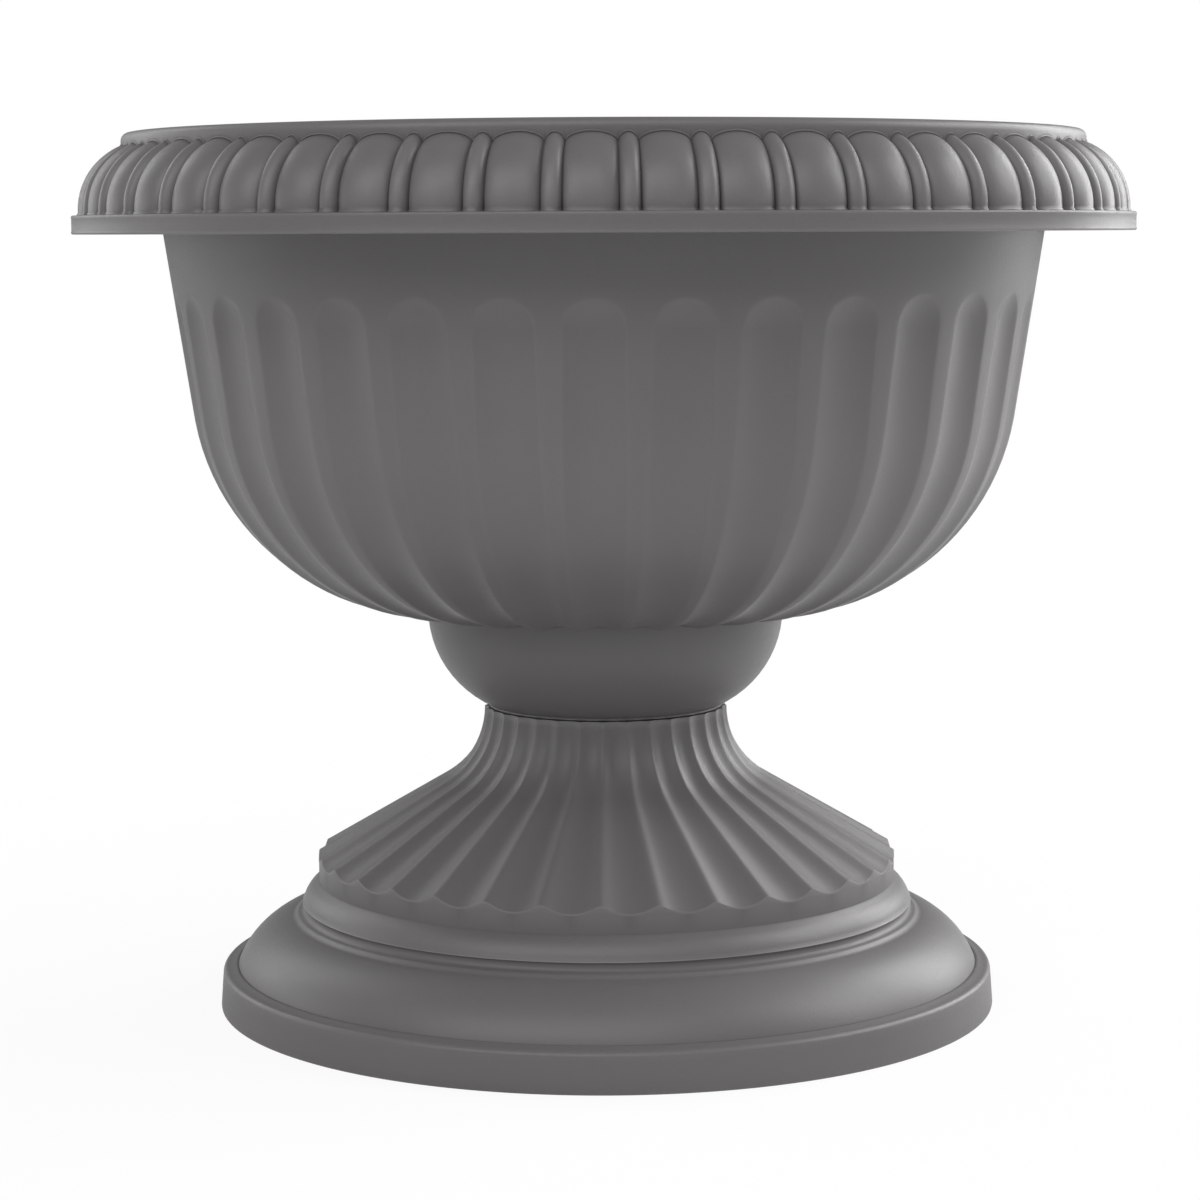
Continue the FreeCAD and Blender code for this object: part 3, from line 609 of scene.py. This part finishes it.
class URN_OT_pedestal(bpy.types.Operator):
    """Make the hollow pedestal: foot, mouldings, fluted skirt and neck, and the deck inside"""

    bl_idname = "urn.pedestal"
    bl_label = "Pedestal"

    def execute(self, context):
        sizes, finish = context.scene.urn_pedestal, context.scene.urn_finish
        top = PEDESTAL_BOX[1].z
        deck = top - sizes.deck
        bm = bmesh.new()
        band, neck = pedestal_flutes(bm, sizes, top)
        band = grow(bm, band, [Vector((0.5 * MM, -0.25 * MM))], shift=True)
        band = grow(bm, band, [Vector((0.2 * MM, -0.55 * MM))], shift=True)
        foot = grow(bm, band, foot_outline(sizes))

        steps = 180
        inside = new_ring(bm, steps, Vector((sizes.foot_radius - sizes.wall, 0.0)))
        bridge(bm, foot, inside)
        underside = grow(bm, inside, pedestal_inside(sizes, deck))

        faces = set(bm.faces)
        lower = grow_notched(bm, underside, Vector((sizes.hole_radius, deck)), sizes.notch_radius)
        below = [face for face in bm.faces if face not in faces]
        upper = grow_notched(bm, lower, Vector((sizes.hole_radius, top)), sizes.notch_radius)
        bridge(bm, neck, upper)
        pull_out(
            bm, below, STOP_MIDDLE, STOP_HALF,
            lambda reach, height: Vector((min(reach, sizes.stop_radius), height - sizes.stop_drop)),
        )
        material = resin(
            "pedestal_resin", finish.pedestal_colour, finish.roughness, finish.grain_size, 0.5, 0.35
        )
        finish_mesh(bm, "pedestal_shell", material, "pedestal", "pedestal")
        return {"FINISHED"}


# ---------------------------------------------------------------- bowl

def bowl_flutes(bm, sizes):
    """The fluted belly and wall; returns its rings at the knop and above the flutes."""
    outline = BellyOutline(sizes)
    inside = (0.0, 0.2, 0.4, 0.6, 0.75, 0.87, 0.95, 1.0)
    land_steps = (0.12, 0.40, 1.0)
    across = [(share, 0.0) for share in inside] + [(1.0, share) for share in land_steps]
    straight_rows, corner_rows, crown_rows = 30, 5, 6
    softness = 0.28 * MM
    apex = outline.way_to(sizes.flute_top)
    pitch = math.tau / sizes.flute_count
    cap_width = 0.5 * (outline.at(apex)[0].x * pitch - sizes.land)
    cap_way = apex - cap_width
    cap_radius = outline.at(cap_way)[0].x
    half_pitch = 0.5 * cap_radius * pitch
    headroom = cap_width + 4.0 * MM
    corner_turn = math.atan2(headroom, half_pitch)
    turns = [corner_turn * step / corner_rows for step in range(1, corner_rows + 1)]
    turns += [
        corner_turn + (0.5 * math.pi - corner_turn) * step / crown_rows
        for step in range(1, crown_rows + 1)
    ]

    def place(column, row):
        share, land_share = across[column]
        if row <= straight_rows:
            way = cap_way * row / straight_rows
            spot, outward = outline.at(way)
            land = sizes.knop_land + (sizes.land - sizes.knop_land) * row / straight_rows
            half = 0.5 * spot.x * pitch
            width = half - 0.5 * land
            if row == straight_rows:
                width = cap_width
            reach = share * width + land_share * (half - width)
            offset = reach
            depth = sizes.knop_flute_depth
            depth += (sizes.flute_depth - depth) * row / straight_rows
        else:
            turn = turns[row - straight_rows - 1]
            border = min(half_pitch / max(math.cos(turn), 1e-6), headroom / math.sin(turn))
            width, depth = cap_width, sizes.flute_depth
            reach = share * width + land_share * (border - width)
            spot, outward = outline.at(cap_way + reach * math.sin(turn))
            offset = reach * math.cos(turn) * spot.x / cap_radius
        sunk = spot - hollow_depth(reach, width, depth, softness) * outward
        return offset * sunk.x / spot.x, sunk

    rows = straight_rows + corner_rows + crown_rows
    return ring_of(bm, sizes.flute_count, len(across) - 1, rows, place)


def gadroons(bm, sizes):
    """Eggs and beads over the ovolo; returns their rings above the lip and at the collar."""
    pitch = math.tau / sizes.egg_count
    egg_share, bead_share = 0.70, 0.26
    egg_steps = (0.0, 0.2, 0.4, 0.6, 0.78, 0.91, 0.98)
    bead_steps = (0.97, 0.85, 0.6, 0.3, 0.0)
    valley = sizes.ovolo_radius - sizes.egg_height
    bottom = 0.5 * (egg_share + 1.0 - bead_share)
    across = [(egg_share * step, step, sizes.egg_height) for step in egg_steps]
    across += [(bottom, 1.0, 0.0)]
    across += [(1.0 - bead_share * step, step, sizes.bead_height) for step in bead_steps]
    centre = Vector((
        sizes.ovolo_reach - sizes.ovolo_radius, sizes.lip_base + sizes.lip_thickness + 1.9 * MM
    ))
    rows = 14

    def place(column, row):
        share, step, height = across[column]
        climb = row / rows
        roundness = 0.46 + 0.16 * climb
        radius = valley + 0.7 * MM * climb + (height - 0.7 * MM * climb) * (1 - step ** 2) ** roundness
        last = math.acos((sizes.collar_radius - centre.x) / radius)
        spot = centre + radius * polar(last * row / rows)
        return share * spot.x * pitch / 2, spot

    return ring_of(bm, sizes.egg_count, len(across) - 1, rows, place)


def channel_outline(sizes, top):
    """From the wall up into the channel behind the rim, and down to the lip's lower edge."""
    crown = top - sizes.rim_wall
    collar = sizes.collar_radius - sizes.rim_wall
    lip_top = sizes.lip_base + sizes.lip_thickness
    centre = Vector((sizes.ovolo_reach - sizes.ovolo_radius, lip_top + 1.9 * MM))
    radius = sizes.ovolo_radius - sizes.egg_height - 0.8 * sizes.rim_wall
    first = math.acos((collar - centre.x) / radius)
    spots = [
        Vector((sizes.wall_radius, sizes.lip_base)),
        Vector((sizes.mouth_radius, crown)),
        Vector((collar, crown)),
    ]
    spots += [Vector((collar, centre.y + radius * math.sin(first)))]
    spots += arc(centre, radius, first, 0.0, 5)
    skirt = sizes.lip_radius - sizes.rim_wall
    spots += [
        Vector((centre.x + radius, lip_top - sizes.rim_wall)),
        Vector((skirt, lip_top - sizes.rim_wall)),
        Vector((skirt, sizes.lip_base + 0.6 * MM)),
        Vector((skirt + 0.6 * MM, sizes.lip_base)),
    ]
    return spots


def lip_outline(sizes):
    """The lip's face, from the groove under the eggs to its lower edge."""
    top = sizes.lip_base + sizes.lip_thickness
    face, base = sizes.lip_radius, sizes.lip_base
    edge = 0.9 * MM
    spots = [Vector((face - 2.4 * MM, top - 0.25 * MM)), Vector((face - 1.7 * MM, top - 0.02 * MM))]
    spots += bulge(Vector((face - edge, top)), Vector((face, top - edge)), edge, 1, 5)
    spots += [
        Vector((face - 0.20 * MM, top - 1.5 * MM)),
        Vector((face - 0.20 * MM, base + 1.5 * MM)),
        Vector((face, base + 0.9 * MM)),
    ]
    spots += bulge(Vector((face, base + 0.8 * MM)), Vector((face - 0.8 * MM, base)), 0.8 * MM, 1, 4)
    return spots


def bowl_inside(sizes, top):
    """The inside of the bowl, from its top edge down to the floor of the knop."""
    wall, edge = sizes.wall, sizes.mouth_round
    outline = BellyOutline(sizes, wall)
    rim = Vector((sizes.mouth_radius - wall, top - edge))
    touch = touching_angle(outline.centre, outline.radius, rim, -1)
    knop = Vector((sizes.knop_radius - wall, sizes.knop_height))
    floor_edge = Vector((sizes.seat_radius - wall, sizes.floor))
    foot = outline.centre + outline.radius * polar(touch)
    spots = bulge(rim + Vector((edge, edge)), rim, edge, -1, 5)
    spots += [rim.lerp(foot, share) for share in (0.25, 0.5, 0.75, 1.0)]
    spots += arc(outline.centre, outline.radius, touch, FRONT, 20)
    spots += bulge(spots[-1], knop, wall, 1, 4)
    spots += list(reversed(upright_arc(floor_edge, knop, 10)))[1:]
    spots += [floor_edge]
    return spots


def drain_floor(bm, sizes, inner, outer):
    """The floor with its drain holes, between the knop's inside and the spigot's."""
    low, high = [], []
    for number in range(3):
        turn = Matrix.Rotation(math.tau * number / 3, 4, "Z")
        for height, rings in ((0.0, low), (sizes.floor, high)):
            made = bmesh.ops.create_circle(
                bm, cap_ends=False, radius=sizes.drain_radius, segments=32,
                matrix=turn @ Matrix.Translation((sizes.drain_reach, 0, height)),
            )
            rings.append(list({edge for corner in made["verts"] for edge in corner.link_edges}))
        bridge(bm, low[-1], high[-1])
    fill_flat(bm, [outer, *low])
    fill_flat(bm, [inner, *high])


class URN_OT_bowl(bpy.types.Operator):
    """Make the bowl: spigot, knop, fluted belly, and the rim with its eggs and beads"""

    bl_idname = "urn.bowl"
    bl_label = "Bowl"

    def execute(self, context):
        sizes, finish = context.scene.urn_bowl, context.scene.urn_finish
        top = BOWL_BOX[1].z - SEAT_HEIGHT
        bm = bmesh.new()
        eggs_low, eggs_high = gadroons(bm, sizes)
        lip = grow(bm, eggs_low, [Vector((0, -0.9 * MM))], shift=True)
        lip = grow(bm, lip, [Vector((0.45 * MM, -0.55 * MM))], shift=True)
        lip = grow(bm, lip, [Vector((0.05 * MM, -0.30 * MM))], shift=True)
        lip = grow(bm, lip, lip_outline(sizes))
        collar_edge = sizes.collar_round
        collar = [
            Vector((sizes.collar_radius, top - collar_edge - 0.4 * MM)),
            Vector((sizes.collar_radius, top - collar_edge)),
        ]
        collar += bulge(collar[-1], collar[-1] + Vector((-collar_edge, collar_edge)), collar_edge, -1, 5)
        arch = grow(bm, eggs_high, [Vector((0.30 * MM, 0.15 * MM))], shift=True)
        arch = grow(bm, arch, [Vector((0.05 * MM, 0.35 * MM))], shift=True)
        arch = grow(bm, arch, [Vector((-0.35 * MM, 0.30 * MM))], shift=True)
        crown = grow(bm, arch, collar)

        belly = bmesh.new()
        bowl_flutes(belly, sizes)
        spare = bpy.data.meshes.new("belly")
        belly.to_mesh(spare)
        belly.free()
        before = set(bm.edges)
        bm.from_mesh(spare)
        bpy.data.meshes.remove(spare)
        rims = [edge for edge in bm.edges if edge not in before and edge.is_boundary]
        halfway = 0.5 * sizes.flute_top
        knop = [edge for edge in rims if edge.verts[0].co.z < halfway]
        wall = [edge for edge in rims if edge.verts[0].co.z >= halfway]
        channel = grow(bm, wall, channel_outline(sizes, top))
        bridge(bm, channel, lip)

        steps = 120
        low = Vector((sizes.seat_radius, 1.0 * MM))
        knop_top = Vector((sizes.knop_radius, sizes.knop_height))
        spots = [knop_top] + list(reversed(upright_arc(low, knop_top, 12)))[1:]
        spots += [low, Vector((low.x, 0.25 * MM)), Vector((low.x - 0.25 * MM, 0.0))]
        seat = grow(bm, knop, spots)
        spigot_out, spigot_in, foot = sizes.spigot_radius, sizes.spigot_bore, BOWL_BOX[0].z - SEAT_HEIGHT
        spigot = new_ring(bm, steps, Vector((spigot_out, 0.0)))
        bridge(bm, seat, spigot)
        spigot = grow(bm, spigot, [Vector((spigot_out, foot + sizes.lug_height))])
        faces = set(bm.faces)
        spigot = grow(bm, spigot, [Vector((spigot_out, foot))])
        lock_faces = [face for face in bm.faces if face not in faces]
        well = grow(bm, spigot, [Vector((spigot_in, foot)), Vector((spigot_in, 0.0))])
        pull_out(
            bm, lock_faces, LUG_MIDDLE, LUG_HALF,
            lambda reach, height: Vector((sizes.lug_radius, height)),
        )

        inside = new_ring(bm, 144, Vector((sizes.mouth_radius - sizes.wall + sizes.mouth_round, top)))
        bridge(bm, crown, inside)
        floor = grow(bm, inside, bowl_inside(sizes, top))
        drain_floor(bm, sizes, floor, well)
        bmesh.ops.translate(bm, vec=(0, 0, SEAT_HEIGHT), verts=bm.verts[:])
        material = resin(
            "bowl_resin", finish.bowl_colour, finish.roughness, finish.grain_size, 0.5, 0.35
        )
        finish_mesh(bm, "bowl_shell", material, "bowl", "bowl")
        return {"FINISHED"}


# ---------------------------------------------------------------- drain plugs

class URN_OT_drain_plugs(bpy.types.Operator):
    """Give the drain plugs in the bowl's floor their resin"""

    bl_idname = "urn.drain_plugs"
    bl_label = "Drain plugs"

    def execute(self, context):
        finish = context.scene.urn_finish
        material = resin("plug_resin", finish.plug_colour, 0.42, finish.grain_size, 0.3, 0.2)
        for name, piece in frame["nodes"].items():
            if name.startswith("drain_plug"):
                piece.data.materials.clear()
                piece.data.materials.append(material)
        return {"FINISHED"}


# ---------------------------------------------------------------- studio

def floor_material():
    """A pale floor that shows white to the camera but still keeps some of the shadow."""
    material = bpy.data.materials.new("studio_floor")
    material.use_nodes = True
    nodes, links = material.node_tree.nodes, material.node_tree.links
    nodes.clear()
    paint = nodes.new("ShaderNodeBsdfDiffuse")
    paint.inputs["Color"].default_value = (0.88, 0.88, 0.88, 1.0)
    white = nodes.new("ShaderNodeEmission")
    white.inputs["Strength"].default_value = 1.0
    path = nodes.new("ShaderNodeLightPath")
    place = nodes.new("ShaderNodeTexCoord")
    reach = nodes.new("ShaderNodeVectorMath")
    reach.operation = "LENGTH"
    fade = nodes.new("ShaderNodeMapRange")
    for label, amount in (("From Min", 0.20), ("From Max", 0.75), ("To Min", 0.90), ("To Max", 1.0)):
        fade.inputs[label].default_value = amount
    share = nodes.new("ShaderNodeMath")
    share.operation = "MULTIPLY"
    mix = nodes.new("ShaderNodeMixShader")
    out = nodes.new("ShaderNodeOutputMaterial")
    links.new(place.outputs["Object"], reach.inputs[0])
    links.new(reach.outputs["Value"], fade.inputs["Value"])
    links.new(path.outputs["Is Camera Ray"], share.inputs[0])
    links.new(fade.outputs["Result"], share.inputs[1])
    links.new(share.outputs[0], mix.inputs["Fac"])
    links.new(paint.outputs[0], mix.inputs[1])
    links.new(white.outputs[0], mix.inputs[2])
    links.new(mix.outputs[0], out.inputs["Surface"])
    return material


def studio_world(level):
    """An even pale surround, white where the camera sees it."""
    world = bpy.data.worlds.new("studio_surround")
    world.use_nodes = True
    nodes, links = world.node_tree.nodes, world.node_tree.links
    shade = nodes["Background"]
    path = nodes.new("ShaderNodeLightPath")
    blend = nodes.new("ShaderNodeMapRange")
    blend.inputs["To Min"].default_value = level
    blend.inputs["To Max"].default_value = 1.0
    links.new(path.outputs["Is Camera Ray"], blend.inputs["Value"])
    links.new(blend.outputs["Result"], shade.inputs["Strength"])
    shade.inputs["Color"].default_value = (1.0, 1.0, 1.0, 1.0)
    return world


def softbox(name, place, aim, size, power):
    """A square soft lamp at a place, turned to face another."""
    data = bpy.data.lights.new(name, "AREA")
    data.shape = "RECTANGLE"
    data.size, data.size_y = size
    data.energy = power
    lamp = bpy.data.objects.new(name, data)
    lamp.location = place
    lamp.rotation_euler = (Vector(aim) - Vector(place)).to_track_quat("-Z", "Y").to_euler()
    bpy.context.scene.collection.objects.link(lamp)


class URN_OT_stage(bpy.types.Operator):
    """Make the floor, the soft lamps and the camera"""

    bl_idname = "urn.stage"
    bl_label = "Studio"

    def execute(self, context):
        scene, studio = context.scene, context.scene.urn_studio
        scene.view_settings.view_transform = "Standard"
        scene.world = studio_world(0.34)

        bm = bmesh.new()
        bmesh.ops.create_grid(bm, x_segments=1, y_segments=1, size=6.0)
        mesh = bpy.data.meshes.new("floor")
        bm.to_mesh(mesh)
        bm.free()
        mesh.materials.append(floor_material())
        floor = bpy.data.objects.new("floor", mesh)
        scene.collection.objects.link(floor)

        middle = (0.0, 0.0, 0.22)
        softbox("lamp_front", (0.0, -1.5, 1.5), middle, (1.2, 1.0), 8.3)
        softbox("lamp_front_left", (-1.1, -1.3, 1.3), middle, (1.0, 1.0), 9.3)
        softbox("lamp_right", (1.7, 0.0, 1.3), middle, (0.8, 1.2), 19.0)
        softbox("lamp_right_back", (1.3, 1.0, 0.8), middle, (0.7, 1.2), 18.5)
        softbox("lamp_left_back", (-1.3, 1.0, 0.8), middle, (0.7, 1.2), 6.0)
        softbox("lamp_left_low", (-1.7, 0.3, 0.4), middle, (0.6, 0.6), 2.0)

        data = bpy.data.cameras.new("camera")
        data.sensor_width = 36.0
        data.lens = studio.lens
        data.clip_start, data.clip_end = 0.05, 30.0
        camera = bpy.data.objects.new("camera", data)
        stand = FRONT + studio.azimuth
        camera.location = (
            studio.distance * math.cos(stand), studio.distance * math.sin(stand), studio.height
        )
        heading = stand + math.pi + studio.yaw
        look = Vector((
            math.cos(heading) * math.cos(studio.pitch),
            math.sin(heading) * math.cos(studio.pitch),
            -math.sin(studio.pitch),
        ))
        lean = Quaternion((0.0, 0.0, 1.0), -studio.roll)
        camera.rotation_euler = (look.to_track_quat("-Z", "Y") @ lean).to_euler()
        scene.collection.objects.link(camera)
        scene.camera = camera
        return {"FINISHED"}


# ---------------------------------------------------------------- add-on

class URN_PT_panel(bpy.types.Panel):
    """The urn's sizes, colours and steps"""

    bl_label = "Urn planter"
    bl_idname = "URN_PT_panel"
    bl_space_type = "VIEW_3D"
    bl_region_type = "UI"
    bl_category = "Urn"

    def draw(self, context):
        for operator in OPERATORS:
            self.layout.operator(operator.bl_idname)
        for name in SETTINGS:
            box = self.layout.box()
            group = getattr(context.scene, name)
            for size in group.__annotations__:
                box.prop(group, size)


OPERATORS = (URN_OT_stage, URN_OT_pedestal, URN_OT_bowl, URN_OT_drain_plugs)
SETTINGS = {
    "urn_pedestal": PedestalSizes,
    "urn_bowl": BowlSizes,
    "urn_finish": FinishSettings,
    "urn_studio": StudioSettings,
}


def register():
    """Register the classes, and hang their settings on the scene."""
    for kind in (*SETTINGS.values(), *OPERATORS, URN_PT_panel):
        bpy.utils.register_class(kind)
    for name, kind in SETTINGS.items():
        setattr(bpy.types.Scene, name, PointerProperty(type=kind))


def unregister():
    """Take the settings and the classes away again."""
    for name in SETTINGS:
        delattr(bpy.types.Scene, name)
    for kind in reversed((*SETTINGS.values(), *OPERATORS, URN_PT_panel)):
        bpy.utils.unregister_class(kind)


def main():
    """Make the studio and the urn."""
    register()
    bpy.ops.urn.stage()
    bpy.ops.urn.pedestal()
    bpy.ops.urn.bowl()
    bpy.ops.urn.drain_plugs()


if __name__ == "__main__":
    main()
